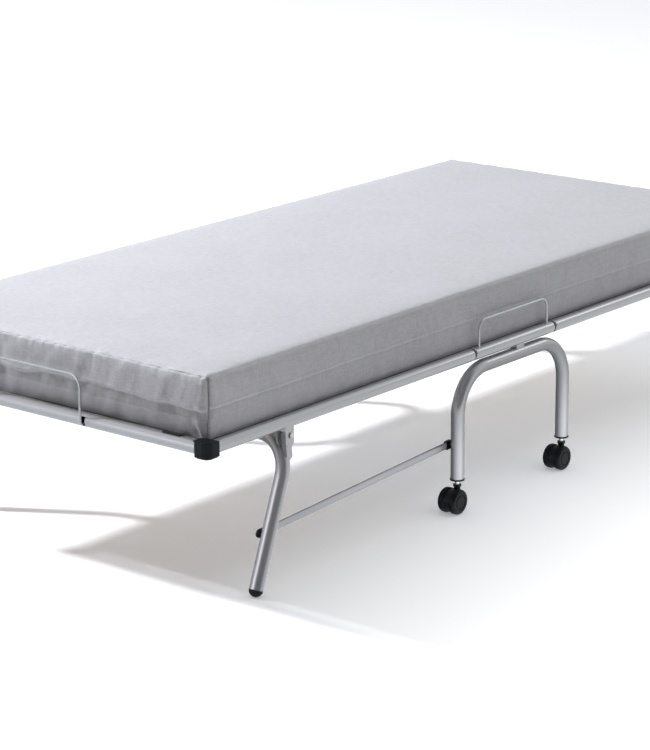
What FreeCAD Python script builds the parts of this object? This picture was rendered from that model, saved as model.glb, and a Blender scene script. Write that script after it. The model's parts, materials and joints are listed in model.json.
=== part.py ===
"""Rollaway guest bed: two folding halves on a wheeled centre frame, with self-folding legs.

The origin is on the floor under the middle of the bed. +X points to the head end, +Y to the
far side and +Z up. Pieces are modelled for the foot half (-X) or the near side (-Y) and
mirrored from there. Each half has one link bar: the foot half on the near side and the head
half on the far side. All lengths are millimetres.
"""

import FreeCAD
import Part
import math
import os

os.makedirs("parts", exist_ok=True)

# ---------------------------------------------------------------- driving dimensions
mattress_length = 2000.0
mattress_width = 900.0
mattress_thickness = 137.0
mattress_base = 350.0
mattress_corner = 18.0
mattress_lower_bevel = 16.5

tube_wall = 1.5
rail_radius = 14.0
rail_height = 344.0
side_rail_y = mattress_width / 2 + 11.0
end_rail_x = mattress_length / 2 + 20.0
rail_end_rounding = 2.5
cross_tube_radius = 10.0
cross_tube_height = 338.0
centre_cross_tube_x = 90.0

section_joint_x = 151.5
joint_gap = 6.0
fold_pivot_inset = 12.0
fold_pivot_height = 349.0

leg_radius = 15.0
leg_lean = math.radians(21.0)
leg_floor_x = -885.0
leg_tip_height = 14.5
leg_bend = 77.0
crossbar_height = 303.0

hoop_radius = 15.0
hoop_leg_x = 201.0
hoop_end_height = 75.0
hoop_top_height = 311.0
hoop_bend = 95.0
spacer_x = 20.0
spacer_half_length = 14.0
spacer_half_width = 9.0

hoop_link_height = 150.0
leg_link_height = 118.0
link_thickness = 8.0
link_depth = 16.0

wire_radius = 2.75
side_retainer_x = 129.0
side_retainer_top = 417.0
end_retainer_y = 135.0
end_retainer_top = 436.0

wheel_radius = 28.0
wheel_width = 15.5
caster_trail = 17.0
caster_core = 14.0

slat_count = 6
slat_width = 60.0
slat_thickness = 8.0
slat_top = 348.0
first_slat_x = -275.0
slat_pitch = 137.0

pin_radius = 4.0
stud_radius = 3.5
rivet_radius = 3.0
head_thickness = 2.8
head_rounding = 1.8
running_clearance = 0.05
assembly_clearance = 0.1
weld_clearance = 0.02

# ---------------------------------------------------------------- worked-out places
half_rail_start = -(section_joint_x + joint_gap / 2)
centre_rail_end = section_joint_x - joint_gap / 2
fold_pivot_x = half_rail_start + fold_pivot_inset
rail_inner_y = side_rail_y - rail_radius
rail_top = rail_height + rail_radius
rail_bottom = rail_height - rail_radius
leg_slope = math.tan(leg_lean)


def leg_axis_x(height):
    """X of the leaning leg's centre line at a height."""
    return leg_floor_x + leg_slope * height


# The rail, the link bar, the hoop and the leg form an exact parallelogram.
leg_link_x = round(leg_axis_x(leg_link_height))
leg_pivot_x = fold_pivot_x + leg_link_x + hoop_leg_x
leg_pivot_height = fold_pivot_height + leg_link_height - hoop_link_height

link_y = side_rail_y - leg_radius - 1.5 - link_thickness / 2


# ---------------------------------------------------------------- helpers
def point(x, y, z):
    return FreeCAD.Vector(x, y, z)


ALONG_X = point(1, 0, 0)
ALONG_Y = point(0, 1, 0)
ORIGIN = point(0, 0, 0)


def rod(start, end, radius):
    """Solid cylinder between two points."""
    axis = end.sub(start)
    return Part.makeCylinder(radius, axis.Length, start, axis)


def block(x_range, y_range, z_range):
    """Box from its three ranges."""
    size = [high - low for low, high in (x_range, y_range, z_range)]
    return Part.makeBox(*size, point(x_range[0], y_range[0], z_range[0]))


def straight_tube(start, end, radius):
    """Open tube between two points."""
    return rod(start, end, radius).cut(rod(start, end, radius - tube_wall))


def bent_path(corners, bend_radii):
    """Wire through the corners, each inner corner rounded to its bend radius."""
    edges = []
    last = corners[0]
    for before, corner, after, radius in zip(corners, corners[1:], corners[2:], bend_radii):
        inward = before.sub(corner).normalize()
        outward = after.sub(corner).normalize()
        half_angle = inward.getAngle(outward) / 2
        setback = radius / math.tan(half_angle)
        arc_start = corner.add(inward * setback)
        arc_end = corner.add(outward * setback)
        bisector = inward.add(outward).normalize()
        arc_middle = corner.add(bisector * (radius / math.sin(half_angle) - radius))
        edges.append(Part.LineSegment(last, arc_start).toShape())
        edges.append(Part.Arc(arc_start, arc_middle, arc_end).toShape())
        last = arc_end
    edges.append(Part.LineSegment(last, corners[-1]).toShape())
    return Part.Wire(edges)


def swept_rod(corners, bend_radii, radius):
    """Round bar that follows a bent path."""
    path = bent_path(corners, bend_radii)
    direction = corners[1].sub(corners[0])
    section = Part.Wire(Part.Circle(corners[0], direction, radius).toShape())
    return path.makePipeShell([section], True, False)


def flat_bar(start, end, half_height, y_low, y_high):
    """Round-ended flat bar in the XZ plane between two (x, z) points."""
    length = math.hypot(end[0] - start[0], end[1] - start[1])
    angle = math.degrees(math.atan2(end[1] - start[1], end[0] - start[0]))
    ends = [point(0, y_low, 0), point(length, y_low, 0)]
    discs = [Part.makeCylinder(half_height, y_high - y_low, end, ALONG_Y) for end in ends]
    middle = block((0, length), (y_low, y_high), (-half_height, half_height))
    bar = middle.fuse(discs).removeSplitter()
    bar.rotate(ORIGIN, ALONG_Y, -angle)
    bar.translate(point(start[0], 0, start[1]))
    return bar


def cross_pin(x, z, radius, y_low, y_high):
    """Cylinder along Y at a place in the XZ plane."""
    return rod(point(x, y_low, z), point(x, y_high, z), radius)


def far_side(shape):
    return shape.mirror(ORIGIN, ALONG_Y)


def head_end(shape):
    return shape.mirror(ORIGIN, ALONG_X)


def half_turn(shape):
    """The same piece at the head end on the far side."""
    return far_side(head_end(shape))


def both_sides(shape):
    """The near piece and its mirror image on the far side."""
    return Part.makeCompound([*shape.Solids, *far_side(shape).Solids])


def write(name, shape):
    shape.exportStep("parts/" + name + ".step")


# ---------------------------------------------------------------- rails of one half
def slat_positions():
    return [first_slat_x - slat_pitch * n for n in range(slat_count)]


leaf_rivet_x = [-226.0, -184.0]
slat_peg_radius = 3.0
side_rail_end = -(end_rail_x - rail_radius - 2.0)
closed_end_wall = 3.0


def leaf_height(x):
    """Height of the hinge leaf's centre line, from its first rivet to the fold pivot."""
    share = (x - leaf_rivet_x[0]) / (fold_pivot_x - leaf_rivet_x[0])
    return rail_height + share * (fold_pivot_height - rail_height)


def rounded_rod(start, end, closed_x):
    """Side rail bar along X, with the rims at the listed closed ends rounded off."""
    bar = rod(start, end, rail_radius)
    rims = [edge for edge in bar.Edges for x in closed_x if abs(edge.CenterOfMass.x - x) < 0.01]
    return bar.makeFillet(rail_end_rounding, rims)


def rail_cutter(x_range, clearance):
    """The near side rail's own outline, grown by a clearance, to shape what sits against it."""
    start = point(x_range[0], -side_rail_y, rail_height)
    end = point(x_range[1], -side_rail_y, rail_height)
    return rod(start, end, rail_radius + clearance)


def side_rail():
    """Near side rail of the foot half: closed at the hinge end, open inside the corner cap."""
    start = point(half_rail_start, -side_rail_y, rail_height)
    end = point(side_rail_end, -side_rail_y, rail_height)
    bore_start = point(half_rail_start - closed_end_wall, -side_rail_y, rail_height)
    rail = rounded_rod(start, end, [half_rail_start])
    rail = rail.cut(rod(bore_start, end, rail_radius - tube_wall))
    inner_wall = (-side_rail_y + 8, -rail_inner_y + 1)
    for x in leaf_rivet_x:
        hole = cross_pin(x, leaf_height(x), rivet_radius + assembly_clearance, *inner_wall)
        rail = rail.cut(hole)
    for x in slat_positions():
        hole = cross_pin(x, rail_height, slat_peg_radius + assembly_clearance, *inner_wall)
        rail = rail.cut(hole)
    return rail


end_rail_half_length = side_rail_y - 3.0
end_retainer_foot_y = end_retainer_y + 4.0
retainer_hook_height = rail_height - 6.0
retainer_slot_height = 19.0
retainer_slot_side_room = 6.0


def retainer_slot():
    """Cutter for the slot in the end rail's outer wall that takes the retainer's hooked foot."""
    low = retainer_hook_height - wire_radius - 0.5
    return block(
        (-end_rail_x - rail_radius - 5.0, -end_rail_x - rail_radius / 2),
        (
            -end_retainer_foot_y - wire_radius - retainer_slot_side_room,
            -end_retainer_foot_y + wire_radius + 0.5,
        ),
        (low, low + retainer_slot_height),
    )


def end_rail():
    """Tube across the end of the half, with a slot for each foot of the end retainer."""
    start = point(-end_rail_x, -end_rail_half_length, rail_height)
    end = point(-end_rail_x, end_rail_half_length, rail_height)
    slot = retainer_slot()
    return straight_tube(start, end, rail_radius).cut(slot).cut(far_side(slot))


def cross_tube(x):
    """Tube between the near and far rails at a place along the bed, mitred onto them."""
    reach = side_rail_y - rail_radius / 2
    start = point(x, -reach, cross_tube_height)
    end = point(x, reach, cross_tube_height)
    rail = rail_cutter((x - 40, x + 40), running_clearance)
    return straight_tube(start, end, cross_tube_radius).cut(rail).cut(far_side(rail))


corner_cap_rounding = 17.0


def corner_cap():
    """Moulded corner that joins a side rail to the end rail."""
    shell = 3.5
    top = rail_top + 2.5
    bottom = rail_bottom - 4.0
    x_range = (-end_rail_x - rail_radius - shell, -mattress_length / 2 - 2.0)
    y_range = (-side_rail_y - rail_radius - shell, -rail_inner_y + 3.0)
    cap = block(x_range, y_range, (bottom, top))
    corner = point(x_range[0], y_range[0], 0)
    upright = [
        edge
        for edge in cap.Edges
        if abs(edge.CenterOfMass.x - corner.x) < 0.1 and abs(edge.CenterOfMass.y - corner.y) < 0.1
    ]
    cap = cap.makeFillet(corner_cap_rounding, upright)
    lower = [edge for edge in cap.Edges if abs(edge.BoundBox.ZMax - bottom) < 0.01]
    cap = cap.makeChamfer(4.0, lower)
    upper = [edge for edge in cap.Edges if abs(edge.BoundBox.ZMin - top) < 0.01]
    cap = cap.makeFillet(1.5, upper)
    ledge = block(
        (-end_rail_x - 12.0, -end_rail_x + 12.0),
        (y_range[1] - 1.0, y_range[1] + 8.0),
        (rail_top + 0.2, top - 0.5),
    )
    side_bore = rail_cutter(
        (side_rail_end - assembly_clearance, x_range[1] + 1), assembly_clearance
    )
    end_bore = rod(
        point(-end_rail_x, -end_rail_half_length - assembly_clearance, rail_height),
        point(-end_rail_x, y_range[1] + 12, rail_height),
        rail_radius + assembly_clearance,
    )
    return cap.fuse(ledge).cut(side_bore).cut(end_bore)


pad_y = 370.0
pad_thickness = 2.6


def end_rail_pads():
    """Two rubber pads on the inner shoulder of the end rail, under the mattress edge."""
    length = 45.0
    pad = rod(
        point(-end_rail_x, -pad_y - length / 2, rail_height),
        point(-end_rail_x, -pad_y + length / 2, rail_height),
        rail_radius + pad_thickness,
    )
    rail = rod(
        point(-end_rail_x, -pad_y - length, rail_height),
        point(-end_rail_x, -pad_y + length, rail_height),
        rail_radius + running_clearance,
    )
    crown = block(
        (-end_rail_x - 3.0, -end_rail_x + rail_radius + 1.0),
        (-pad_y - length, -pad_y + length),
        (rail_height + 5.0, rail_top + pad_thickness),
    )
    return both_sides(pad.cut(rail).common(crown))


def end_retainer():
    """Wire hoop hooked into the end rail that keeps the mattress in place."""
    outer_x = -end_rail_x - rail_radius - wire_radius - assembly_clearance
    near = [
        point(-end_rail_x - 4.0, -end_retainer_foot_y, retainer_hook_height),
        point(outer_x, -end_retainer_foot_y, retainer_hook_height),
        point(outer_x, -end_retainer_foot_y, rail_height + 28.0),
        point(outer_x + 10.0, -end_retainer_y + 2.0, end_retainer_top),
    ]
    far = [point(corner.x, -corner.y, corner.z) for corner in reversed(near)]
    bends = [5.0, 60.0, 34.0]
    return swept_rod(near + far, bends + bends[::-1], wire_radius)


# ---------------------------------------------------------------- deck
slat_end_inset = 9.0
slat_cap_reach = 32.0
slat_cap_side_wall = 4.0
slat_cap_floor = 3.5
slat_cap_roof = 1.2


def slat(x):
    """Sprung wooden slat with rounded long edges."""
    half_length = rail_inner_y - slat_end_inset
    board = block(
        (x - slat_width / 2, x + slat_width / 2),
        (-half_length, half_length),
        (slat_top - slat_thickness, slat_top),
    )
    long_edges = [edge for edge in board.Edges if edge.Length > half_length]
    return board.makeFillet(2.5, long_edges)


def slat_cap(x):
    """Plastic holder for one slat end, pegged into the side rail."""
    half_width = slat_width / 2 + slat_cap_side_wall
    body = block(
        (x - half_width, x + half_width),
        (-rail_inner_y + 0.3, -rail_inner_y + slat_cap_reach),
        (slat_top - slat_thickness - slat_cap_floor, slat_top + slat_cap_roof),
    )
    upright = [edge for edge in body.Edges if abs(edge.BoundBox.ZLength) > 5]
    body = body.makeFillet(3.0, upright)
    pocket = block(
        (x - slat_width / 2 - assembly_clearance, x + slat_width / 2 + assembly_clearance),
        (-rail_inner_y + slat_end_inset - assembly_clearance, -rail_inner_y + 40.0),
        (slat_top - slat_thickness - assembly_clearance, slat_top + assembly_clearance),
    )
    peg = cross_pin(x, rail_height, slat_peg_radius, -rail_inner_y - 4.0, -rail_inner_y + 2.0)
    rail = rail_cutter((x - slat_width, x + slat_width), assembly_clearance)
    return body.cut(rail).cut(pocket).fuse(peg)


# ---------------------------------------------------------------- fold hinge
leaf_outer_y = rail_inner_y - 0.5
leaf_inner_y = leaf_outer_y - 4.0
leaf_half_height = 8.0
rivet_head_radius = 5.5


def hinge_leaf():
    """Steel leaf riveted inside the side rail, reaching to the fold pivot."""
    first = (leaf_rivet_x[0], leaf_height(leaf_rivet_x[0]))
    pivot = (fold_pivot_x, fold_pivot_height)
    leaf = flat_bar(first, pivot, leaf_half_height, -leaf_outer_y, -leaf_inner_y)
    through = (-leaf_outer_y - 1, -leaf_inner_y + 1)
    leaf = leaf.cut(cross_pin(*pivot, stud_radius + running_clearance, *through))
    for x in leaf_rivet_x:
        leaf = leaf.cut(cross_pin(x, leaf_height(x), rivet_radius + running_clearance, *through))
    return leaf


def headed_pin(x, z, radius, y_start, y_end, head_radius):
    """Pin along Y that ends in a domed head at y_end."""
    shank = cross_pin(x, z, radius, y_start, y_end + 0.5)
    top = y_end + head_thickness
    head = cross_pin(x, z, head_radius, y_end, top)
    rim = [edge for edge in head.Edges if abs(edge.BoundBox.YMin - top) < 0.01]
    return shank.fuse(head.makeFillet(head_rounding, rim))


def leaf_rivets():
    return [
        headed_pin(
            x,
            leaf_height(x),
            rivet_radius,
            -rail_inner_y - 4,
            -leaf_inner_y + 0.1,
            rivet_head_radius,
        )
        for x in leaf_rivet_x
    ]


def fold_stud():
    """Pivot stud on the inner wall of the centre rail."""
    start = -rail_inner_y - 3.0
    end = -leaf_inner_y + 0.4
    return headed_pin(fold_pivot_x, fold_pivot_height, stud_radius, start, end, rivet_head_radius)


# ---------------------------------------------------------------- leg bracket
bracket_half_gap = 9.5
bracket_plate = 3.5
bracket_half_width = 13.0
bracket_drop = 37.0
bracket_offset = 3.0


def leg_bracket():
    """Clevis welded under the side rail, which holds the leg's lug."""
    centre_x = leg_pivot_x - bracket_offset
    low = rail_bottom - bracket_drop
    outer = bracket_half_gap + bracket_plate
    body = block(
        (centre_x - bracket_half_width, centre_x + bracket_half_width),
        (-side_rail_y - outer, -side_rail_y + outer),
        (low, rail_height - 5.0),
    )
    lower = [
        edge
        for edge in body.Edges
        if abs(edge.BoundBox.ZMax - low) < 0.01 and edge.BoundBox.YLength > 1
    ]
    body = body.makeFillet(bracket_half_width - 1.0, lower)
    slot = block(
        (centre_x - 20, centre_x + 20),
        (-side_rail_y - bracket_half_gap, -side_rail_y + bracket_half_gap),
        (low - 1, rail_bottom - 3.1),
    )
    rail = rail_cutter((centre_x - 20, centre_x + 20), running_clearance)
    hole = cross_pin(
        leg_pivot_x,
        leg_pivot_height,
        pin_radius + running_clearance,
        -side_rail_y - 20,
        -side_rail_y + 20,
    )
    return body.cut(slot).cut(rail).cut(hole)


def leg_pivot_rivet():
    """Rivet with a domed head on each side of the clevis."""
    outer = bracket_half_gap + bracket_plate + 0.1
    inner_head = headed_pin(
        leg_pivot_x, leg_pivot_height, pin_radius, -side_rail_y, -side_rail_y + outer, 6.5
    )
    outer_head = inner_head.mirror(point(0, -side_rail_y, 0), ALONG_Y)
    return inner_head.fuse(outer_head).removeSplitter()


# ---------------------------------------------------------------- legs
lug_radius = 8.8
lug_half_thickness = 6.0
lug_foot_height = 272.0


def leg_frame():
    """U-shaped leg tube with a pivot lug welded on each shoulder."""
    foot = point(leg_axis_x(leg_tip_height), -side_rail_y, leg_tip_height)
    shoulder = point(leg_axis_x(crossbar_height), -side_rail_y, crossbar_height)
    near = [foot, shoulder]
    far = [point(corner.x, -corner.y, corner.z) for corner in reversed(near)]
    outer = swept_rod(near + far, [leg_bend, leg_bend], leg_radius)
    bore = swept_rod(near + far, [leg_bend, leg_bend], leg_radius - tube_wall)
    lug = flat_bar(
        (leg_pivot_x + 4.0, lug_foot_height),
        (leg_pivot_x, leg_pivot_height),
        lug_radius,
        -side_rail_y - lug_half_thickness,
        -side_rail_y + lug_half_thickness,
    )
    hole = cross_pin(
        leg_pivot_x,
        leg_pivot_height,
        pin_radius + running_clearance,
        -side_rail_y - 20,
        -side_rail_y + 20,
    )
    stud_hole = cross_pin(
        leg_link_x,
        leg_link_height,
        pin_radius + assembly_clearance,
        -side_rail_y,
        -side_rail_y + 20,
    )
    frame = outer.fuse([lug, far_side(lug)]).cut(bore)
    return frame.cut(hole).cut(far_side(hole)).cut(stud_hole)


tip_plug_length = 24.0
tip_plug_radius = leg_radius - tube_wall - 0.2


def leg_tip():
    """Domed rubber tip with a plug in the tube and a small flat where it stands."""
    centre = point(leg_axis_x(leg_tip_height), -side_rail_y, leg_tip_height)
    upward = point(math.sin(leg_lean), 0, math.cos(leg_lean))
    ball = Part.makeSphere(leg_radius, centre)
    above_floor = block(
        (centre.x - 40, centre.x + 40), (-side_rail_y - 40, -side_rail_y + 40), (0, 60)
    )
    beyond_tube = rod(centre, centre.sub(upward * 40), 40)
    dome = ball.common(beyond_tube).common(above_floor)
    plug = rod(centre.sub(upward), centre.add(upward * tip_plug_length), tip_plug_radius)
    return dome.fuse(plug)


# ---------------------------------------------------------------- link bar
link_end_length = 17.0
link_end_half_height = 9.0
link_end_half_width = 4.5
link_tongue_length = 22.0
link_tube_wall = 1.2


def link_direction():
    length = math.hypot(leg_link_x + hoop_leg_x, leg_link_height - hoop_link_height)
    return (
        length,
        (-(leg_link_x + hoop_leg_x)) / length,
        (hoop_link_height - leg_link_height) / length,
    )


def place_on_link(shape):
    """Move a piece modelled along +X from the leg pivot onto the link's line."""
    length, run, rise = link_direction()
    shape.rotate(ORIGIN, ALONG_Y, -math.degrees(math.atan2(rise, run)))
    shape.translate(point(leg_link_x, -link_y, leg_link_height))
    return shape


def oval_prism(x_range, half_height, half_width):
    """Flat-oval bar along X."""
    straight = half_height - half_width
    core = block(x_range, (-half_width, half_width), (-straight, straight))
    rounds = [
        rod(point(x_range[0], 0, z), point(x_range[1], 0, z), half_width)
        for z in (-straight, straight)
    ]
    return core.fuse(rounds).removeSplitter()


def link_bar():
    """Flat-oval tube between the two plastic ends."""
    length = link_direction()[0]
    x_range = (link_end_length, length - link_end_length)
    outer = oval_prism(x_range, link_depth / 2, link_thickness / 2)
    bore = oval_prism(x_range, link_depth / 2 - link_tube_wall, link_thickness / 2 - link_tube_wall)
    return place_on_link(outer.cut(bore))


def link_ends():
    """Plastic end with a pivot eye and a tongue in the tube, one at each end of the bar."""
    length = link_direction()[0]
    eye = Part.makeCylinder(
        link_end_half_height, 2 * link_end_half_width, point(0, -link_end_half_width, 0), ALONG_Y
    )
    neck = block(
        (0, link_end_length - 0.2),
        (-link_end_half_width, link_end_half_width),
        (-link_end_half_height, link_end_half_height),
    )
    inset = link_tube_wall + 0.2
    tongue = oval_prism(
        (link_end_length - 1, link_end_length + link_tongue_length),
        link_depth / 2 - inset,
        link_thickness / 2 - inset,
    )
    bore = cross_pin(0, 0, pin_radius + running_clearance, -10, 10)
    leg_side = eye.fuse([neck, tongue]).cut(bore).removeSplitter()
    hoop_side = leg_side.mirror(point(length / 2, 0, 0), ALONG_X)
    return [place_on_link(leg_side), place_on_link(hoop_side)]


def link_stud(x, z):
    """Stud on the inner wall of a leg tube that carries a link end."""
    start = -side_rail_y + leg_radius - 4.5
    end = -link_y + link_end_half_width + 0.5
    return headed_pin(x, z, pin_radius, start, end, 7.5)


# ---------------------------------------------------------------- centre frame
def centre_rail():
    """Short rail of the centre section, closed at both ends."""
    start = point(-centre_rail_end, -side_rail_y, rail_height)
    end = point(centre_rail_end, -side_rail_y, rail_height)
    bore = rod(
        point(-centre_rail_end + closed_end_wall, -side_rail_y, rail_height),
        point(centre_rail_end - closed_end_wall, -side_rail_y, rail_height),
        rail_radius - tube_wall,
    )
    rail = rounded_rod(start, end, [-centre_rail_end, centre_rail_end]).cut(bore)
    for x in (fold_pivot_x, -fold_pivot_x):
        hole = cross_pin(
            x,
            fold_pivot_height,
            stud_radius + assembly_clearance,
            -side_rail_y + 6,
            -rail_inner_y + 1,
        )
        rail = rail.cut(hole)
    return rail


def caster_hoop():
    """Bent tube with a caster in each end and one spacer block welded on its top."""
    near = [
        point(-hoop_leg_x, -side_rail_y, hoop_end_height),
        point(-hoop_leg_x, -side_rail_y, hoop_top_height),
        point(hoop_leg_x, -side_rail_y, hoop_top_height),
        point(hoop_leg_x, -side_rail_y, hoop_end_height),
    ]
    outer = swept_rod(near, [hoop_bend, hoop_bend], hoop_radius)
    bore = swept_rod(near, [hoop_bend, hoop_bend], hoop_radius - tube_wall)
    spacer = block(
        (spacer_x - spacer_half_length, spacer_x + spacer_half_length),
        (-side_rail_y - spacer_half_width, -side_rail_y + spacer_half_width),
        (hoop_top_height + 5, rail_height - 6),
    )
    rail = rail_cutter((spacer_x - 60, spacer_x + 60), weld_clearance)
    stud_hole = cross_pin(
        -hoop_leg_x,
        hoop_link_height,
        pin_radius + assembly_clearance,
        -side_rail_y,
        -side_rail_y + 20,
    )
    return outer.fuse(spacer).cut(bore).cut(rail).cut(stud_hole)


def side_retainer():
    """Wire hoop on top of the centre rail that keeps the mattress in place."""
    y = -side_rail_y - 3.0
    corners = [
        point(-side_retainer_x, y, rail_height + 8),
        point(-side_retainer_x, y, side_retainer_top),
        point(side_retainer_x, y, side_retainer_top),
        point(side_retainer_x, y, rail_height + 8),
    ]
    wire = swept_rod(corners, [22.0, 22.0], wire_radius)
    return wire.cut(rail_cutter((-centre_rail_end, centre_rail_end), weld_clearance))


# ---------------------------------------------------------------- casters
stem_radius = 5.0
socket_rim = 3.5
caster_axle_radius = 3.0
caster_boss_radius = caster_core / 2
caster_top = 62.0
caster_stem_depth = 26.0
socket_rim_radius = 16.5
socket_plug_length = 32.0
hub_groove_radius = 15.5
hub_groove_depth = 1.6


def caster_socket(x):
    """Plastic plug in the end of a hoop leg, with a rim and a bore for the stem."""
    rim_base = point(x, -side_rail_y, hoop_end_height - socket_rim)
    rim = Part.makeCylinder(socket_rim_radius, socket_rim, rim_base)
    edge = [e for e in rim.Edges if abs(e.BoundBox.ZMax - hoop_end_height + socket_rim) < 0.01]
    plug = Part.makeCylinder(
        hoop_radius - tube_wall - assembly_clearance,
        socket_plug_length,
        point(x, -side_rail_y, hoop_end_height - 0.5),
    )
    bore = Part.makeCylinder(
        stem_radius + running_clearance, 30, point(x, -side_rail_y, hoop_end_height - 6)
    )
    return rim.makeFillet(1.2, edge).fuse(plug).cut(bore)


def caster_axle_x(x):
    return x - caster_trail


def caster_housing(x):
    """Core between the wheels with a boss round the stem."""
    axle_x = caster_axle_x(x)
    y = -side_rail_y
    disc = Part.makeCylinder(
        wheel_radius - 2.5, caster_core, point(axle_x, y - caster_core / 2, wheel_radius), ALONG_Y
    )
    boss = Part.makeCylinder(caster_boss_radius, caster_top - 30, point(x, y, 30))
    web = block(
        (axle_x, x), (y - caster_boss_radius, y + caster_boss_radius), (wheel_radius, caster_top - 9)
    )
    collar = Part.makeCylinder(caster_boss_radius + 2.0, 5.0, point(x, y, caster_top - 5.0))
    core = disc.fuse([boss, web, collar]).removeSplitter()
    stem_bore = Part.makeCylinder(
        stem_radius + weld_clearance, 40, point(x, y, caster_top - caster_stem_depth)
    )
    axle_bore = cross_pin(
        axle_x, wheel_radius, caster_axle_radius + weld_clearance, y - caster_core, y + caster_core
    )
    return core.cut(stem_bore).cut(axle_bore)


def caster_pins(x):
    """Steel stem and steel axle of one caster."""
    stem_low = caster_top - caster_stem_depth + 0.5
    stem_high = hoop_end_height + 20.0
    stem = Part.makeCylinder(stem_radius, stem_high - stem_low, point(x, -side_rail_y, stem_low))
    reach = caster_core / 2 + wheel_width - 4.5
    axle = cross_pin(
        caster_axle_x(x),
        wheel_radius,
        caster_axle_radius,
        -side_rail_y - reach,
        -side_rail_y + reach,
    )
    return Part.makeCompound([stem, axle])


def caster_wheel(x):
    """Outer wheel of the pair, with a rounded tread and a dished outer face."""
    inner_y = -side_rail_y - caster_core / 2 - 0.4
    outer_y = inner_y - wheel_width
    wheel = Part.makeCylinder(
        wheel_radius, wheel_width, point(caster_axle_x(x), outer_y, wheel_radius), ALONG_Y
    )
    outer_edge = [e for e in wheel.Edges if abs(e.BoundBox.YMax - outer_y) < 0.01]
    inner_edge = [e for e in wheel.Edges if abs(e.BoundBox.YMin - inner_y) < 0.01]
    wheel = wheel.makeFillet(6.5, outer_edge).makeFillet(2.0, inner_edge)
    hub_centre = point(caster_axle_x(x), outer_y, wheel_radius)
    groove = Part.makeTorus(hub_groove_radius, hub_groove_depth, hub_centre, ALONG_Y)
    bore = cross_pin(
        caster_axle_x(x),
        wheel_radius,
        caster_axle_radius + running_clearance,
        outer_y + 3.0,
        inner_y + 1.0,
    )
    return wheel.cut(groove).cut(bore)


def caster_wheels(x):
    outer = caster_wheel(x)
    inner = outer.mirror(point(0, -side_rail_y, 0), ALONG_Y)
    return Part.makeCompound([*outer.Solids, *inner.Solids])


# ---------------------------------------------------------------- mattress
mattress_half_gap = 2.0
mattress_half_end_x = fold_pivot_x - 17.5


def mattress_block(x_range):
    """Block of foam whose long lower edges are bevelled to clear the rails and hinges."""
    body = block(
        x_range,
        (-mattress_width / 2, mattress_width / 2),
        (mattress_base, mattress_base + mattress_thickness),
    )
    length = x_range[1] - x_range[0]
    lower = [
        edge
        for edge in body.Edges
        if abs(edge.BoundBox.ZMax - mattress_base) < 0.01
        and abs(edge.BoundBox.XLength - length) < 0.01
    ]
    return body.makeChamfer(mattress_lower_bevel, lower)


def mattress_half():
    """Foot part of the mattress, which rides on the foot half."""
    body = mattress_block((-mattress_length / 2, mattress_half_end_x))
    corners = [
        edge
        for edge in body.Edges
        if edge.BoundBox.ZLength > 100 and edge.BoundBox.XMax < mattress_half_end_x - 1
    ]
    return body.makeFillet(mattress_corner, corners)


def mattress_middle():
    """Middle part of the mattress, which bends as the halves fold."""
    reach = -mattress_half_end_x - mattress_half_gap
    return mattress_block((-reach, reach))


# ---------------------------------------------------------------- assembly
def half_pieces():
    """Every piece of the foot half that has a twin on the far side or reaches across."""
    rivets = [*leaf_rivets(), leg_pivot_rivet()]
    near_rail = side_rail()
    return {
        "side_rail_near": near_rail,
        "side_rail_far": far_side(near_rail),
        "end_rail": end_rail(),
        "cross_tube": cross_tube(first_slat_x - 1.5 * slat_pitch),
        "corner_caps": both_sides(corner_cap()),
        "rail_pads": end_rail_pads(),
        "end_retainer": end_retainer(),
        "slats": Part.makeCompound([slat(x) for x in slat_positions()]),
        "slat_caps": both_sides(Part.makeCompound([slat_cap(x) for x in slat_positions()])),
        "hinge_leaves": both_sides(hinge_leaf()),
        "rivets": both_sides(Part.makeCompound(rivets)),
        "leg_brackets": both_sides(leg_bracket()),
        "mattress": mattress_half(),
        "leg_tips": both_sides(leg_tip()),
    }


def linked_pieces():
    """The foot leg and the single link bar that folds it, on the near side."""
    return {
        "leg_frame": leg_frame(),
        "leg_link_stud": link_stud(leg_link_x, leg_link_height),
        "link_bar": link_bar(),
        "link_ends": Part.makeCompound(link_ends()),
    }


def centre_pieces():
    """Every fixed piece of the centre frame."""
    hoop = caster_hoop()
    rail = centre_rail()
    retainer = side_retainer()
    fold_studs = Part.makeCompound([fold_stud(), head_end(fold_stud())])
    hoop_stud = link_stud(-hoop_leg_x, hoop_link_height)
    sockets = Part.makeCompound([caster_socket(-hoop_leg_x), caster_socket(hoop_leg_x)])
    cross_tubes = [cross_tube(-centre_cross_tube_x), cross_tube(centre_cross_tube_x)]
    return {
        "centre_rail_near": rail,
        "centre_rail_far": far_side(rail),
        "caster_hoop_near": hoop,
        "caster_hoop_far": half_turn(hoop),
        "centre_cross_tubes": Part.makeCompound(cross_tubes),
        "side_retainer_near": retainer,
        "side_retainer_far": far_side(retainer),
        "fold_studs": both_sides(fold_studs),
        "hoop_link_studs": Part.makeCompound([hoop_stud, half_turn(hoop_stud)]),
        "caster_sockets": both_sides(sockets),
        "mattress_middle": mattress_middle(),
    }


def caster_pieces(x):
    return {"housing": caster_housing(x), "pins": caster_pins(x), "wheels": caster_wheels(x)}


for piece, shape in half_pieces().items():
    write("foot_" + piece, shape)
    write("head_" + piece, head_end(shape))

for piece, shape in linked_pieces().items():
    write("foot_" + piece, shape)
    write("head_" + piece, half_turn(shape))

for piece, shape in centre_pieces().items():
    write(piece, shape)

for end_name, x in (("foot", -hoop_leg_x), ("head", hoop_leg_x)):
    for piece, shape in caster_pieces(x).items():
        write("caster_near_" + end_name + "_" + piece, shape)
        write("caster_far_" + end_name + "_" + piece, far_side(shape))
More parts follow.
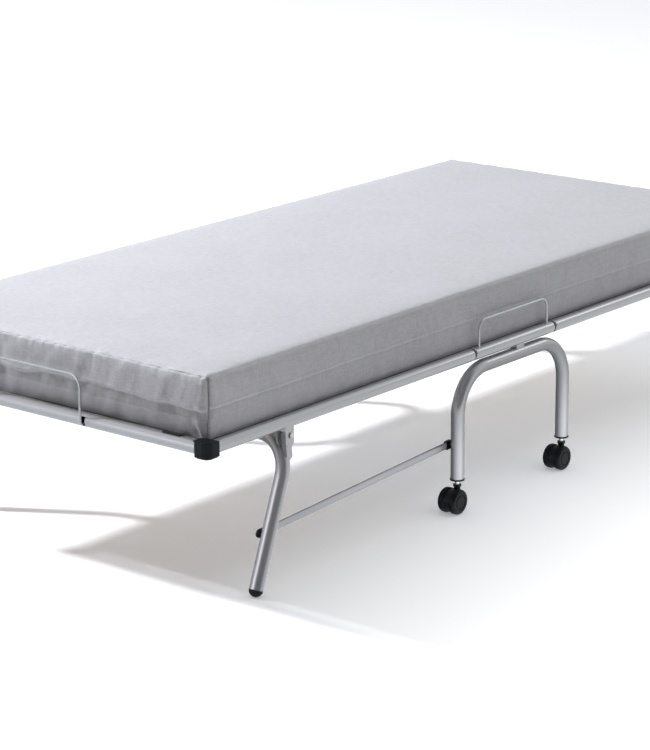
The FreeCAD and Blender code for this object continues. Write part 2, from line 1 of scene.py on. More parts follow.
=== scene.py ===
"""Looks of the rollaway bed: its mattress, the materials of every piece, the light and the camera.

Everything is in metres, in the frame of the CAD model: +X to the head end, +Y to the far
side, +Z up, with the origin on the floor under the middle of the bed.
"""

import json
import math

import bmesh
import bpy
import numpy as np
from mathutils import Matrix, Vector


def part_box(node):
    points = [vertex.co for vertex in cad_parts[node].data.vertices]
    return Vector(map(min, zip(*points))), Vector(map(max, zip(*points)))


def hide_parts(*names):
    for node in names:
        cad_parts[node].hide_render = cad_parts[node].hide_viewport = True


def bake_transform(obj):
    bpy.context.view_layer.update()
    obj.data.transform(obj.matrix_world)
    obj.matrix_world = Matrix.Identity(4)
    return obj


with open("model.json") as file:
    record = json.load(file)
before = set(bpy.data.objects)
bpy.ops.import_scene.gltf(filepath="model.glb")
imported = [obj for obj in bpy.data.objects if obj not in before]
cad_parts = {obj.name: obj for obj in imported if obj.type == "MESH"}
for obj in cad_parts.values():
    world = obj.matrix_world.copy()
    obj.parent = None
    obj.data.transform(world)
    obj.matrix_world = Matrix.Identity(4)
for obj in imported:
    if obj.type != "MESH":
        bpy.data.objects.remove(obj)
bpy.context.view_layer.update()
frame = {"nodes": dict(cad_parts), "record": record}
nodes = frame["nodes"]

MM = 0.001


# ---------------------------------------------------------------- materials
class NodeTree:
    """A small builder round one shader node tree."""

    def __init__(self, owner):
        owner.use_nodes = True
        self.tree = owner.node_tree

    def add(self, kind, settings=None, **inputs):
        """New node: settings are its properties, inputs its sockets by name, with _ for a space."""
        node = self.tree.nodes.new("ShaderNode" + kind)
        for key, value in (settings or {}).items():
            setattr(node, key, value)
        for key, value in inputs.items():
            self.plug(node.inputs[key.replace("_", " ")], value)
        return node

    def plug(self, socket, value):
        """Link an output to a socket, or set the socket's own value."""
        if isinstance(value, bpy.types.NodeSocket):
            self.tree.links.new(value, socket)
        else:
            socket.default_value = value

    def math(self, operation, first, second=0.5):
        node = self.add("Math", {"operation": operation})
        self.plug(node.inputs[0], first)
        self.plug(node.inputs[1], second)
        return node.outputs[0]

    def blend(self, share, first, second, mode="MIX"):
        """Mix of two colours."""
        node = self.add("Mix", {"data_type": "RGBA", "blend_type": mode})
        self.plug(node.inputs[0], share)
        self.plug(node.inputs[6], first)
        self.plug(node.inputs[7], second)
        return node.outputs[2]

    def mix_values(self, share, first, second):
        """Mix of two numbers."""
        node = self.add("Mix", {"data_type": "FLOAT"})
        for socket, setting in zip(node.inputs[:1] + node.inputs[2:4], (share, first, second)):
            self.plug(socket, setting)
        return node.outputs[0]

    def span(self, value, low, high, to_low=0.0, to_high=1.0):
        """Value mapped from one range to another, clamped."""
        node = self.add("MapRange")
        for socket, setting in zip(node.inputs[:5], (value, low, high, to_low, to_high)):
            self.plug(socket, setting)
        return node.outputs[0]


class Surface(NodeTree):
    """One Principled material, laid out in object coordinates or in a stored attribute."""

    def __init__(self, name, attribute=None):
        self.material = bpy.data.materials.new(name)
        super().__init__(self.material)
        self.shader = self.tree.nodes["Principled BSDF"]
        if attribute:
            self.coordinates = self.attribute(attribute)
        else:
            self.coordinates = self.add("TexCoord").outputs["Object"]

    def attribute(self, name):
        return self.add("Attribute", {"attribute_name": name}).outputs["Vector"]

    def place(self, scale=(1, 1, 1)):
        """The material's coordinates in metres, scaled."""
        return self.add("Mapping", Vector=self.coordinates, Scale=scale).outputs[0]

    def noise(self, grain, detail=3.0, roughness=0.5, stretch=(1, 1, 1)):
        """Noise whose features are about `grain` metres across."""
        return self.add(
            "TexNoise",
            Vector=self.place(stretch),
            Scale=1.0 / grain,
            Detail=detail,
            Roughness=roughness,
        ).outputs["Fac"]

    def bump(self, height, depth, strength=1.0, under=None):
        node = self.add("Bump", Height=height, Distance=depth, Strength=strength)
        if under is not None:
            self.plug(node.inputs["Normal"], under)
        return node.outputs[0]

    def finish(self, **inputs):
        for key, value in inputs.items():
            self.plug(self.shader.inputs[key.replace("_", " ")], value)
        return self.material


def grey(level, tint=(1.0, 1.0, 1.0)):
    """Grey of a brightness, as a colour with alpha, with an optional tint."""
    return (*(level * part for part in tint), 1.0)


COOL = (0.985, 0.99, 1.02)
BLUISH = (0.85, 0.95, 1.2)
# Black of the tape round the mattress's lower edge, a painted shadow line.
SHADOW_TAPE_BLACK = grey(0.04)


def silver_paint(name, level=0.42, roughness=0.25):
    """Satin silver powder coat: very fine flake, faint orange peel and slightly cloudy gloss."""
    s = Surface(name)
    flake = s.add("TexVoronoi", Vector=s.place(), Scale=1 / (0.45 * MM))
    base = s.blend(flake.outputs["Color"], grey(level * 0.98, COOL), grey(level * 1.02, COOL))
    cloud = s.span(s.noise(160 * MM, 2.0), 0.35, 0.65)
    base = s.blend(cloud, base, grey(level * 1.03, COOL))
    rough = s.span(s.noise(50 * MM, 3.0), 0.3, 0.7, roughness - 0.02, roughness + 0.02)
    peel = s.bump(s.noise(4 * MM, 1.0), 0.01 * MM, 0.1)
    return s.finish(Base_Color=base, Metallic=0.65, Roughness=rough, Normal=peel)


def zinc_steel():
    """Zinc-plated steel with fine turning marks and a slightly yellow cast."""
    s = Surface("zinc_steel_mat")
    marks = s.noise(0.6 * MM, 2.0, 0.6, (1, 6, 1))
    tone = s.span(s.noise(4 * MM, 4.0), 0.3, 0.7)
    base = s.blend(tone, grey(0.5, (1.0, 0.98, 0.93)), grey(0.66, (1.0, 0.99, 0.96)))
    rough = s.span(marks, 0.3, 0.7, 0.24, 0.4)
    return s.finish(
        Base_Color=base, Metallic=1.0, Roughness=rough, Normal=s.bump(marks, 0.03 * MM, 0.6)
    )


def moulded_plastic(name, level, roughness, grain_size):
    """Moulded black plastic with spark-eroded grain and lighter rubbed edges."""
    s = Surface(name)
    grain = s.noise(grain_size, 2.0, 0.6)
    tone = s.span(s.noise(25 * MM, 4.0), 0.3, 0.7)
    base = s.blend(tone, grey(level * 0.7, BLUISH), grey(level * 1.1, BLUISH))
    edge = s.span(s.add("NewGeometry").outputs["Pointiness"], 0.51, 0.62)
    base = s.blend(s.math("MULTIPLY", edge, 0.4), base, grey(level * 3.0, BLUISH))
    rough = s.span(s.noise(9 * MM, 4.0), 0.3, 0.7, roughness - 0.06, roughness + 0.08)
    return s.finish(
        Base_Color=base,
        Roughness=rough,
        Specular_IOR_Level=0.12,
        Normal=s.bump(grain, 0.06 * MM, 0.5),
    )


def rubber():
    """Matte black rubber, a little dusty low down."""
    s = Surface("black_rubber_mat")
    height = s.add("SeparateXYZ", Vector=s.place()).outputs["Z"]
    dust = s.math("MULTIPLY", s.span(height, 0.0, 12 * MM, 1.0, 0.0), s.noise(3 * MM, 4.0))
    base = s.blend(s.math("MULTIPLY", dust, 0.35), grey(0.016), grey(0.2, (1.0, 0.96, 0.9)))
    rough = s.span(s.noise(2 * MM, 3.0), 0.3, 0.7, 0.62, 0.8)
    return s.finish(
        Base_Color=base,
        Roughness=rough,
        Specular_IOR_Level=0.25,
        Normal=s.bump(s.noise(0.7 * MM, 2.0), 0.06 * MM, 0.5),
    )


def beech():
    """Steamed beech veneer: long grain along Y with short dark flecks, satin varnish."""
    s = Surface("beech_mat")
    grain = s.noise(9 * MM, 5.0, 0.6, (1, 0.06, 1))
    fleck = s.noise(1.6 * MM, 2.0, 0.5, (1, 0.18, 1))
    base = s.blend(
        s.span(grain, 0.3, 0.7), grey(1.0, (0.54, 0.41, 0.27)), grey(1.0, (0.68, 0.54, 0.38))
    )
    base = s.blend(s.span(fleck, 0.62, 0.72, 0.0, 0.5), base, grey(1.0, (0.36, 0.25, 0.15)))
    rough = s.span(grain, 0.3, 0.7, 0.38, 0.52)
    return s.finish(
        Base_Color=base,
        Roughness=rough,
        Coat_Weight=0.15,
        Coat_Roughness=0.3,
        Normal=s.bump(grain, 0.1 * MM, 0.4),
    )


def plain_weave(s, pitch, facing):
    """Over and under threads of a plain weave, on whichever plane each point faces."""
    place = s.add("SeparateXYZ", Vector=s.place((1 / pitch,) * 3)).outputs
    weave = None
    for first, second, third in (("X", "Y", "Z"), ("X", "Z", "Y"), ("Y", "Z", "X")):
        waves = [
            s.math("SINE", s.math("MULTIPLY", place[axis], 2 * math.pi))
            for axis in (first, second)
        ]
        pattern = s.math("MULTIPLY", waves[0], waves[1])
        share = s.math("POWER", s.math("ABSOLUTE", facing[third]), 4.0)
        part = s.math("MULTIPLY", pattern, share)
        weave = part if weave is None else s.math("ADD", weave, part)
    return weave


def slub_pattern(s):
    """Thicker stretches of thread, drawn out along each of the three directions."""
    grain = 2.4 * MM
    slub_up = s.noise(grain, 3.0, 0.55, (1, 1, 0.12))
    slub_along = s.noise(grain, 3.0, 0.55, (0.12, 1, 1))
    slub_across = s.noise(grain, 3.0, 0.55, (1, 0.12, 1))
    return s.math("ADD", s.math("ADD", slub_up, slub_along), slub_across)


def woven_fabric():
    """Grey plain weave with slubs, with painted shade: darker on the border than on top, and
    darkest at the ends.

    It is laid out on the flat cover, so that it bends with the mattress. Attributes that sew
    stores tell it which way each point faces, and where the painted shade of the lower panel and
    the black band of painted shadow round the lower edge are.
    """
    s = Surface("mattress_fabric_mat", "rest")
    facing = s.add("SeparateXYZ", Vector=s.attribute("facing")).outputs
    weave = plain_weave(s, 1.1 * MM, facing)
    slubs = slub_pattern(s)
    dark = grey(0.44, (0.985, 0.985, 1.02))
    light = grey(0.56, (0.985, 0.985, 1.025))
    base = s.blend(s.span(slubs, 1.2, 1.8), dark, light)
    threads = s.span(weave, -1.0, 1.0, 0.0, 0.1)
    base = s.blend(threads, base, grey(0.75))
    cloud = s.span(s.noise(180 * MM, 2.0), 0.35, 0.65, 0.0, 0.16)
    base = s.blend(cloud, base, grey(0.62, (0.98, 0.98, 1.03)))
    # Painted shade: by the way each point faces, the border is darkened, and the ends more than the
    # sides.
    border_shade_share = s.span(s.math("ABSOLUTE", facing["Z"]), 0.25, 0.75, 1.0, 0.0)
    side, end = grey(0.71), grey(0.58)
    border = s.blend(s.math("ABSOLUTE", facing["X"]), side, end)
    base = s.blend(border_shade_share, base, border, "MULTIPLY")
    # The stored shade paints the darker lower panel and the black tape, a painted shadow line.
    shade = s.add("Attribute", {"attribute_name": "shade"}).outputs["Fac"]
    base = s.blend(shade, SHADOW_TAPE_BLACK, base)
    slub_depth, weave_depth = 0.18 * MM, 0.16 * MM
    normal = s.bump(slubs, slub_depth, 0.5)
    normal = s.bump(weave, weave_depth, 0.55, normal)
    return s.finish(
        Base_Color=base,
        Roughness=0.88,
        Specular_IOR_Level=0.22,
        Sheen_Weight=0.15,
        Sheen_Roughness=0.45,
        Sheen_Tint=grey(0.95),
        Normal=normal,
    )


MATERIALS = {
    "silver_paint": silver_paint("silver_paint_mat"),
    "wire_paint": silver_paint("wire_paint_mat", 0.45, 0.25),
    "zinc_steel": zinc_steel(),
    "black_plastic": moulded_plastic("black_plastic_mat", 0.008, 0.42, 0.7 * MM),
    "caster_plastic": moulded_plastic("caster_plastic_mat", 0.009, 0.34, 1.1 * MM),
    "black_rubber": rubber(),
    "beech": beech(),
    "mattress_fabric": woven_fabric(),
}


def paint_cad_nodes():
    """Every CAD node takes the material of its slot in the record."""
    for part in frame["record"]["subparts"]:
        node = nodes[part["node"]]
        node.data.materials.clear()
        node.data.materials.append(MATERIALS[part["material_slot"]])


# ---------------------------------------------------------------- mattress
mattress_low = Vector([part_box("foot_mattress")[0][i] for i in range(3)])
mattress_high = Vector([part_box("head_mattress")[1][i] for i in range(3)])

# The cover before it is filled: how far inside its final size, its radii and its mesh.
SIDE_GAP = 2 * MM
BASE_GAP = 1 * MM
TOP_GAP = 4 * MM
CORNER = 14 * MM
TOP_EDGE = 13 * MM
LOWER_EDGE = 4 * MM
EDGE_STEPS = [4 * MM, 5 * MM, 7 * MM, 12 * MM]
PITCH = 22 * MM
BORDER_PITCH = 9 * MM

# The filling: frames of simulation, and how far it may push each face out.
SIM_FRAMES = 20
TOP_RISE = 5 * MM
BORDER_RISE = 5 * MM
END_RISE = 8 * MM

# How far each end spreads low down, and the width of the black tape round the lower edge, a painted
# shadow line.
END_SPREAD = 5 * MM
SHADOW_TAPE_WIDTH = 4 * MM


def graded(low, high, first_steps, pitch):
    """Positions from low to high, with short first_steps at both ends and about pitch between."""
    start = [low]
    for step in first_steps:
        start.append(start[-1] + step)
    end = [low + high - value for value in reversed(start)]
    count = max(1, round((end[0] - start[-1]) / pitch))
    middle = np.linspace(start[-1], end[0], count + 1)[1:-1]
    return np.array(start + list(middle) + end)


def box_shell(xs, ys, zs):
    """Vertices and quads of the outside of a lattice box."""
    index, points, quads = {}, [], []

    def at(i, j, k):
        if (i, j, k) not in index:
            index[i, j, k] = len(points)
            points.append((xs[i], ys[j], zs[k]))
        return index[i, j, k]

    last = (len(xs) - 1, len(ys) - 1, len(zs) - 1)
    for axis in range(3):
        one, two = [a for a in range(3) if a != axis]
        for side in (0, last[axis]):
            outward = (side > 0) != (axis == 1)
            for a in range(last[one]):
                for b in range(last[two]):
                    corners = []
                    for da, db in ((0, 0), (1, 0), (1, 1), (0, 1)):
                        place = [0, 0, 0]
                        place[axis], place[one], place[two] = side, a + da, b + db
                        corners.append(at(*place))
                    quads.append(corners if outward else corners[::-1])
    return np.array(points), quads


def pulled_round(points, low, high, radius_low, radius_high):
    """Box points moved onto a rounded box, with their own radius at the low and high sides."""
    inner = np.clip(points, np.array(low) + radius_low, np.array(high) - radius_high)
    away = points - inner
    reach = np.abs(away).max(1)
    length = np.linalg.norm(away, axis=1)
    scale = np.divide(reach, length, out=np.ones_like(length), where=length > 0)
    return inner + away * scale[:, None]


def rounded(points, low, high):
    """Box points moved onto rounded vertical corners and rounded horizontal edges."""
    moved = points.copy()
    moved[:, :2] = pulled_round(points[:, :2], low[:2], high[:2], CORNER, CORNER)
    upper = points[:, 2] > (low[2] + high[2]) / 2
    edge = np.where(upper, TOP_EDGE, LOWER_EDGE)[:, None]
    return pulled_round(moved, low, high, edge, edge)


def new_mesh_object(name, points, faces):
    mesh = bpy.data.meshes.new(name)
    mesh.from_pydata([tuple(p) for p in points], [], [tuple(f) for f in faces])
    mesh.update()
    thing = bpy.data.objects.new(name, mesh)
    bpy.context.scene.collection.objects.link(thing)
    return thing


def coordinates(mesh):
    values = np.zeros(len(mesh.vertices) * 3)
    mesh.vertices.foreach_get("co", values)
    return values.reshape(-1, 3)


def set_coordinates(mesh, points):
    mesh.vertices.foreach_set("co", np.asarray(points, np.float32).ravel())
    mesh.update()


def normals(mesh):
    values = np.zeros(len(mesh.vertices) * 3)
    mesh.vertices.foreach_get("normal", values)
    return values.reshape(-1, 3)


def apply_modifiers(thing):
    """Replace the object's mesh by its evaluated mesh and drop its modifiers."""
    graph = bpy.context.evaluated_depsgraph_get()
    mesh = bpy.data.meshes.new_from_object(thing.evaluated_get(graph))
    thing.modifiers.clear()
    thing.data = mesh


def cover_shape():
    """Mattress cover before it is filled, a little inside its final size."""
    low = mattress_low + Vector((SIDE_GAP, SIDE_GAP, BASE_GAP))
    high = mattress_high - Vector((SIDE_GAP, SIDE_GAP, TOP_GAP))
    xs = graded(low.x, high.x, EDGE_STEPS, PITCH)
    ys = graded(low.y, high.y, EDGE_STEPS, PITCH)
    zs = graded(low.z, high.z, EDGE_STEPS[:2], BORDER_PITCH)
    points, quads = box_shell(xs, ys, zs)
    return points, quads, low, high


def simulate_filling(thing):
    """Cloth simulation under pressure, applied: the points of the group pins are held."""
    cloth = thing.modifiers.new("cloth", "CLOTH")
    settings = cloth.settings
    settings.quality = 6
    settings.mass = 0.25
    settings.tension_stiffness = 12
    settings.compression_stiffness = 8
    settings.shear_stiffness = 4
    settings.bending_stiffness = 0.4
    settings.use_pressure = True
    settings.uniform_pressure_force = 4
    settings.shrink_min = -0.012
    settings.effector_weights.gravity = 0
    settings.vertex_group_mass = "pins"
    cloth.point_cache.frame_start = 1
    cloth.point_cache.frame_end = SIM_FRAMES
    for step in range(1, SIM_FRAMES + 1):
        bpy.context.scene.frame_set(step)
    apply_modifiers(thing)


def fill_cover():
    """Mattress puffed up by a cloth simulation between its sewn edges, which are held."""
    points, quads, low, high = cover_shape()
    thing = new_mesh_object("mattress_cover", rounded(points, low, high), quads)
    rest = thing.data.attributes.new("rest", "FLOAT_VECTOR", "POINT")
    rest.data.foreach_set("vector", points.astype(np.float32).ravel())

    on_plane = 1e-5
    to_wall = np.minimum(points - np.array(low), np.array(high) - points)
    on_wall = to_wall < on_plane
    top_seam = (np.abs(points[:, 2] - high.z) < on_plane) & (on_wall[:, 0] | on_wall[:, 1])
    corner_seam = on_wall[:, 0] & on_wall[:, 1]
    bottom = points[:, 2] < low.z + on_plane
    mid_height = (low.z + high.z) / 2
    middle_seam = (np.abs(points[:, 2] - mid_height) < 5 * MM) & on_wall[:, 1]
    pins = thing.vertex_groups.new(name="pins")
    for chosen, hold in ((middle_seam, 0.35), (top_seam, 0.8), (corner_seam, 0.9), (bottom, 1.0)):
        pins.add([int(i) for i in np.nonzero(chosen)[0]], hold, "REPLACE")

    start = coordinates(thing.data)
    simulate_filling(thing)
    moved = coordinates(thing.data) - start
    length = np.linalg.norm(moved, axis=1)
    cap = np.where(on_wall[:, 0], END_RISE, np.where(on_wall[:, 1], BORDER_RISE, TOP_RISE))
    set_coordinates(thing.data, start + moved * (cap / (cap + length))[:, None])
    bpy.context.scene.frame_set(1)
    return thing, low, high


def wander(values, period, seed):
    """Smooth random curve between -1 and 1."""
    phases = np.random.default_rng(seed).uniform(0, 2 * math.pi, 5)
    total = sum(
        np.sin(2 * math.pi * values / (period * ratio) + phase) * ratio
        for ratio, phase in zip((1.0, 0.62, 0.41, 0.27, 0.17), phases)
    )
    return total / 2.0


def ridge(distance, width):
    """Smooth bump of height 1 where distance is zero."""
    return np.exp(-((distance / width) ** 2))


class Cover:
    """Where each point of the flat cover lies: on which panel, how high and how far along it."""

    def __init__(self, mesh, low, high):
        rest = np.zeros(len(mesh.vertices) * 3)
        mesh.attributes["rest"].data.foreach_get("vector", rest)
        self.rest = rest = rest.reshape(-1, 3)
        self.above_base = rest[:, 2] - low.z
        self.height = self.above_base / (high.z - low.z)
        self.drop = high.z - rest[:, 2]
        self.to_end = np.minimum(rest[:, 0] - low.x, high.x - rest[:, 0])
        self.to_side = np.minimum(rest[:, 1] - low.y, high.y - rest[:, 1])
        self.on_end = self.to_end < self.to_side
        self.to_wall = np.where(self.on_end, self.to_end, self.to_side)
        self.along = np.where(self.on_end, rest[:, 1], rest[:, 0])
        self.border = self.to_wall < 1 * MM
        self.bottom = self.height < 0.001
        self.to_top_edge = np.where(self.border, self.drop, self.to_wall + self.drop)
        self.strength = self.by_panel(1.0, 0.45)
        self.puckers = wander(self.along, 26 * MM, 3) * 0.6 + wander(self.along, 15 * MM, 4) * 0.4
        self.crease = 0.5 + self.by_panel(0.055, 0.008) * wander(self.along, 420 * MM, 6)
        self.belly = np.sin(np.clip(self.height, 0, 1) * math.pi)

    def by_panel(self, end, side):
        """One value on the two end panels and another on the two side panels."""
        return np.where(self.on_end, end, side)


def top_seam_relief(cover):
    """Sunk seam round the top edge, with puckers that run down the border from it."""
    seam_depth = cover.by_panel(0.7, 0.5) * MM
    seam_width = 3.5 * MM
    border_pucker, top_pucker = 2.2 * MM, 0.4 * MM
    border_reach = (18 * MM) * (1.0 + 0.5 * wander(cover.along, 60 * MM, 5))
    top_reach = 6 * MM
    pucker = cover.strength * cover.puckers
    shift = -seam_depth * ridge(cover.to_top_edge, seam_width)
    shift += border_pucker * pucker * np.exp(-cover.to_top_edge / border_reach) * cover.border
    shift += top_pucker * pucker * np.exp(-cover.to_top_edge / top_reach) * ~cover.border
    return shift


def crease_relief(cover):
    """The border is two panels: the upper one laps a little over the lower one at mid height.

    Heights here are shares of the mattress's thickness, and depths are in millimetres.
    """
    over = cover.height - cover.crease
    step = np.clip(-over / 0.05, 0.0, 1.0)
    lower_half = np.clip(-over / 0.5, 0.0, 1.0)
    step_depth = cover.by_panel(2.8, 0.4)
    hollow_depth = cover.by_panel(1.4, 0.3)
    groove_depth = cover.by_panel(0.4, 1.5)
    lip_height = 0.9
    swell = cover.by_panel(3.0, 1.0) * cover.belly
    shift = -step_depth * step
    shift -= hollow_depth * np.sin(lower_half * math.pi)
    shift += lip_height * ridge(over - 0.02, 0.02)
    shift -= groove_depth * ridge(over + 0.016, 0.017)
    shift += swell * (1 + 0.5 * wander(cover.along, 260 * MM, 8))
    return shift * MM * cover.border


def corner_relief(cover):
    """Sunk vertical corner seams, small folds beside them and a tuck at the foot of each end."""
    seam_depth, fold_height, tuck_height = 3.0 * MM, 1.8 * MM, 2.4 * MM
    corner = np.hypot(cover.to_end, cover.to_side)
    shift = -seam_depth * ridge(corner, 3.6 * MM) * (cover.drop > 1 * MM)
    folds = wander(cover.along - cover.rest[:, 2] * 0.9, 34 * MM, 9) * ridge(corner, 70 * MM)
    shift += fold_height * folds * (1 - cover.height) * cover.border * cover.strength
    tuck_place = (14 + 45 * cover.height) * MM
    tuck = ridge(cover.to_side - tuck_place, 5 * MM) * cover.on_end * cover.border
    shift += tuck_height * tuck * np.clip((0.42 - cover.height) / 0.2, 0, 1)
    return shift


def slack_relief(cover):
    """Soft waves of loose cloth on the border and on top."""
    border_wave = cover.by_panel(1.3, 0.4) * MM
    top_wave = 0.8 * MM
    wave = wander(cover.along + 0.35 * cover.rest[:, 2], 95 * MM, 10)
    shift = wave * border_wave * cover.border * cover.belly
    top = cover.height > 0.999
    relief = wander(cover.rest[:, 0], 310 * MM, 11) * wander(cover.rest[:, 1], 240 * MM, 12)
    shift += top_wave * relief * top * np.clip(cover.to_wall / (60 * MM), 0, 1)
    return shift


def sew(thing, low, high):
    """Seams, puckers, creases and tucks as relief, then the attributes that the fabric uses."""
    thing.modifiers.new("smooth", "SUBSURF").levels = 2
    apply_modifiers(thing)
    mesh = thing.data
    cover = Cover(mesh, low, high)
    shift = top_seam_relief(cover) + crease_relief(cover)
    shift += corner_relief(cover) + slack_relief(cover)
    shift[cover.bottom] = 0.0
    points = coordinates(mesh) + normals(mesh) * shift[:, None]

    # Low down, each end spreads until it touches the inside of the end rail.
    near_end = np.clip(1 - cover.to_end / (12 * MM), 0, 1)
    spread = np.clip(1 - cover.height / 0.3, 0, 1) ** 0.6 * near_end
    points[:, 0] += END_SPREAD * spread * np.sign(points[:, 0])

    # The top edge of each end is gathered, so it dips a little between its puckers.
    gather_depth = 2.6 * MM
    gather = np.abs(cover.puckers) * ridge(cover.to_top_edge, 11 * MM)
    points[:, 2] -= gather_depth * gather * np.clip(1 - cover.to_end / (30 * MM), 0, 1)
    set_coordinates(mesh, points)
    facing = mesh.attributes.new("facing", "FLOAT_VECTOR", "POINT")
    facing.data.foreach_set("vector", normals(mesh).astype(np.float32).ravel())

    # Painted shade on the lower panel, strongest at the ends, and a black tape round its lower edge
    # that is a painted shadow line under the mattress.
    lower_panel = np.clip((cover.crease - cover.height) / 0.03, 0, 1) * cover.border
    darker = lower_panel * cover.by_panel(0.2, 0.05)
    shadow_tape = np.clip((SHADOW_TAPE_WIDTH - cover.above_base) / (1.5 * MM), 0, 1) * ~cover.bottom
    shade = mesh.attributes.new("shade", "FLOAT", "POINT")
    shade.data.foreach_set("value", ((1 - darker) * (1 - shadow_tape)).astype(np.float32))


def half_of(thing, name, keep_sign):
    """Closed copy of the part of a mesh on one side of X = 0, in the mattress fabric."""
    piece = bpy.data.objects.new(name, thing.data.copy())
    bpy.context.scene.collection.objects.link(piece)
    work = bmesh.new()
    work.from_mesh(piece.data)
    geometry = work.verts[:] + work.edges[:] + work.faces[:]
    cut = bmesh.ops.bisect_plane(
        work,
        geom=geometry,
        dist=1e-7,
        plane_co=(0, 0, 0),
        plane_no=(1, 0, 0),
        clear_inner=keep_sign > 0,
        clear_outer=keep_sign < 0,
    )
    rim = [item for item in cut["geom_cut"] if isinstance(item, bmesh.types.BMEdge)]
    caps = bmesh.ops.holes_fill(work, edges=rim, sides=0)["faces"]
    for edge in rim:
        edge.smooth = False
    for face in work.faces:
        face.smooth = True
    for face in caps:
        face.smooth = False
    bmesh.ops.recalc_face_normals(work, faces=work.faces[:])
    work.to_mesh(piece.data)
    work.free()
    piece.data.materials.clear()
    piece.data.materials.append(MATERIALS["mattress_fabric"])
    return piece


def make_mattress():
    """One mattress, split in the middle into a foot half and a head half; the CAD mattress pieces
    are hidden.
    """
    cover, low, high = fill_cover()
    sew(cover, low, high)
    for end, sign in (("foot", -1), ("head", 1)):
        piece = half_of(cover, "mattress_" + end + "_cover", sign)
        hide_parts(end + "_mattress")
        if end == "foot":
            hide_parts("mattress_middle")
        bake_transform(piece)
    bpy.data.objects.remove(cover)


# ---------------------------------------------------------------- floor, light and camera
def painted_floor_reflection(s, place, path):
    """Painted reflection: the brightness of the floor where a tube reflects it, as a studio's
    boards would give.

    For the hoops it is dark behind and light in front. Round the foot leg it is dark outside
    and light towards the bed. The rails see an even grey. Each is chosen by where the
    reflected ray starts on the bed, and shaped by the ray's direction.
    """
    hoop_to_leg = (-0.55, -0.7)
    leg_to_rail = (0.32, 0.335)
    rail_grey = 0.95
    back = s.add("SeparateXYZ", Vector=s.add("NewGeometry").outputs["Incoming"]).outputs
    start_x = s.math("ADD", place["X"], s.math("MULTIPLY", back["X"], path["Ray Length"]))
    start_z = s.math("MULTIPLY", back["Z"], path["Ray Length"])
    to_front = s.span(back["Y"], -0.7, 0.95, 0.1, 2.1)
    low_down = s.span(start_z, 0.12, 0.26, 1.0, 0.5)
    not_headward = s.span(back["X"], -0.2, -0.7, 1.0, 0.7)
    by_hoop = s.math("MULTIPLY", s.math("MULTIPLY", to_front, low_down), not_headward)
    by_leg = s.span(back["X"], 0.1, -0.6, 0.05, 0.95)
    below_rails = s.mix_values(s.span(start_x, *hoop_to_leg), by_hoop, by_leg)
    return s.mix_values(s.span(start_z, *leg_to_rail), below_rails, rail_grey)


def make_floor():
    """Pale floor that glows a little in front of the bed, so that the shadow fades there."""
    half = 40
    corners = [(-half, -half, 0), (half, -half, 0), (half, half, 0), (-half, half, 0)]
    floor = new_mesh_object("floor", corners, [(0, 1, 2, 3)])
    s = Surface("floor_mat")
    base = s.blend(s.noise(0.9, 2.0), grey(0.89), grey(0.91))
    place = s.add("SeparateXYZ", Vector=s.coordinates).outputs
    front = s.span(place["Y"], -0.28, -0.95)
    # Painted light: the floor also glows under the bed, more towards the head, which lightens the
    # shadow there.
    headward = s.span(place["X"], -0.8, 0.0, 0.11, 0.2)
    glow = s.math("ADD", headward, s.math("MULTIPLY", front, 0.41))
    path = s.add("LightPath").outputs
    # Painted reflection: in reflections the floor is black and glows with its painted reflection
    # pattern.
    in_tubes = path["Is Glossy Ray"]
    paint = s.finish(
        Base_Color=s.blend(in_tubes, base, grey(0.0)),
        Roughness=0.8,
        Specular_IOR_Level=0.1,
        Emission_Color=s.blend(front, grey(1.0, (0.94, 1.0, 1.05)), grey(1.0)),
        Emission_Strength=s.mix_values(in_tubes, glow, painted_floor_reflection(s, place, path)),
    )
    floor.data.materials.append(paint)


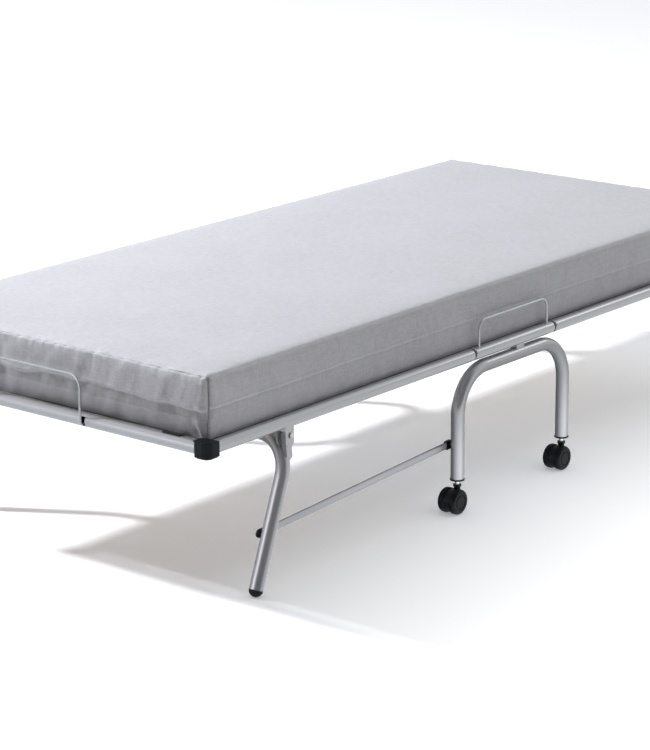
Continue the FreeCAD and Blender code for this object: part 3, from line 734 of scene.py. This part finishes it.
def make_world():
    """Pale studio dome, greyer towards the horizon and the foot end.

    Reflections see an even grey instead, with a bright board behind the foot end and a dark
    flag on the near side of it.
    """
    board_direction = (-0.853, 0.387, 0.347)
    world = bpy.data.worlds.new("studio")
    bpy.context.scene.world = world
    studio = NodeTree(world)
    toward = studio.add("TexCoord").outputs["Generated"]
    direction = studio.add("SeparateXYZ", Vector=toward).outputs
    upward = studio.span(direction["Z"], 0.02, 0.5)
    headward = studio.span(direction["X"], -0.7, 0.2)
    dome = studio.blend(upward, grey(0.34), grey(0.8, COOL))
    dark_end = studio.blend(upward, grey(0.06), grey(0.28, COOL))
    light = studio.blend(headward, dark_end, dome)

    nearward = studio.span(direction["Y"], 0.1, -0.35)
    flag = studio.math("MULTIPLY", nearward, studio.span(direction["X"], 0.4, 0.0))
    to_board = studio.add("VectorMath", {"operation": "DOT_PRODUCT"})
    studio.plug(to_board.inputs[0], toward)
    studio.plug(to_board.inputs[1], board_direction)
    board = studio.span(to_board.outputs["Value"], 0.92, 0.985)
    reflected = studio.blend(flag, grey(0.9, COOL), grey(0.1))
    reflected = studio.blend(board, reflected, grey(2.5, COOL))
    light = studio.blend(studio.add("LightPath").outputs["Is Glossy Ray"], light, reflected)
    studio.plug(world.node_tree.nodes["Background"].inputs["Color"], light)


def make_lights():
    """A lamp behind the bed towards its foot, and a strip that only makes highlights."""
    key = bpy.data.lights.new("key", "POINT")
    key.energy = 2080
    key.color = (0.98, 0.98, 1.04)
    key.shadow_soft_size = 0.21
    lamp = bpy.data.objects.new("key", key)
    lamp.location = (-2.0, 4.6, 3.5)
    lamp.visible_glossy = False
    bpy.context.scene.collection.objects.link(lamp)

    strip = bpy.data.lights.new("strip", "AREA")
    strip.shape = "RECTANGLE"
    strip.size, strip.size_y = 1.2, 0.5
    strip.energy = 5
    holder = bpy.data.objects.new("strip", strip)
    towards_strip = Vector((0.748, -0.407, 0.523))
    distance = 4.0
    holder.location = towards_strip * distance
    holder.rotation_euler = towards_strip.to_track_quat("Z", "Y").to_euler()
    holder.visible_diffuse = False
    bpy.context.scene.collection.objects.link(holder)


def make_camera():
    """Camera off the near foot corner, looking across the bed and a little down."""
    heading, tilt, roll = (math.radians(angle) for angle in (39.0, 15.6, 0.3))
    lens = bpy.data.cameras.new("camera")
    lens.lens = 131.0
    lens.sensor_width = 36.0
    lens.shift_x = -0.009
    lens.shift_y = -0.020
    lens.clip_end = 100.0
    camera = bpy.data.objects.new("camera", lens)
    level = math.cos(tilt)
    ahead = Vector((math.cos(heading) * level, math.sin(heading) * level, -math.sin(tilt)))
    turn = ahead.to_track_quat("-Z", "Y").to_matrix().to_4x4()
    stand = Matrix.Translation((-4.780, -3.818, 1.928))
    camera.matrix_world = stand @ turn @ Matrix.Rotation(-roll, 4, "Z")
    bpy.context.scene.collection.objects.link(camera)
    bpy.context.scene.camera = camera


bpy.context.scene.view_settings.view_transform = "Standard"
paint_cad_nodes()
make_mattress()
make_floor()
make_world()
make_lights()
make_camera()
